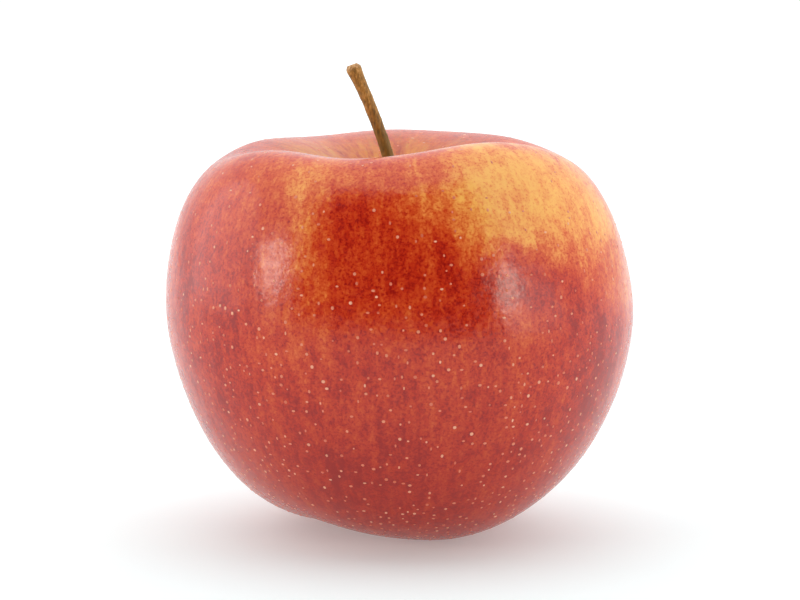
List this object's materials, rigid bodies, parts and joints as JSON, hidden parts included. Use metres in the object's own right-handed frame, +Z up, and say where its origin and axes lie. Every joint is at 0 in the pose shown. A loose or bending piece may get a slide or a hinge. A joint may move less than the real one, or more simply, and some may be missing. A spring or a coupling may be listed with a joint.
{
  "type": "apple",
  "caption": "Ripe red and orange dessert apple with its stalk and dried calyx, standing on the flat spots of its foot lobes.",
  "frame": {"origin": "on the surface that the apple stands on, under the middle of the fruit's outline", "axes": "+Z up along the core axis from the basin to the stem cavity, -Y towards the side that is seen first, and the stalk leans towards -X"},
  "size_m": [0.079, 0.0782, 0.0791],
  "materials": {
    "skin": "satin",
    "stalk_bark": "matte",
    "dried_sepal": "matte",
    "dried_stamen": "matte"
  },
  "bodies": {
    "root": {"fruit": "skin", "stalk": "stalk_bark", "sepal_1": "dried_sepal", "sepal_2": "dried_sepal", "sepal_3": "dried_sepal", "sepal_4": "dried_sepal", "sepal_5": "dried_sepal", "stamen_tuft": "dried_stamen"}
  },
  "joints": []
}
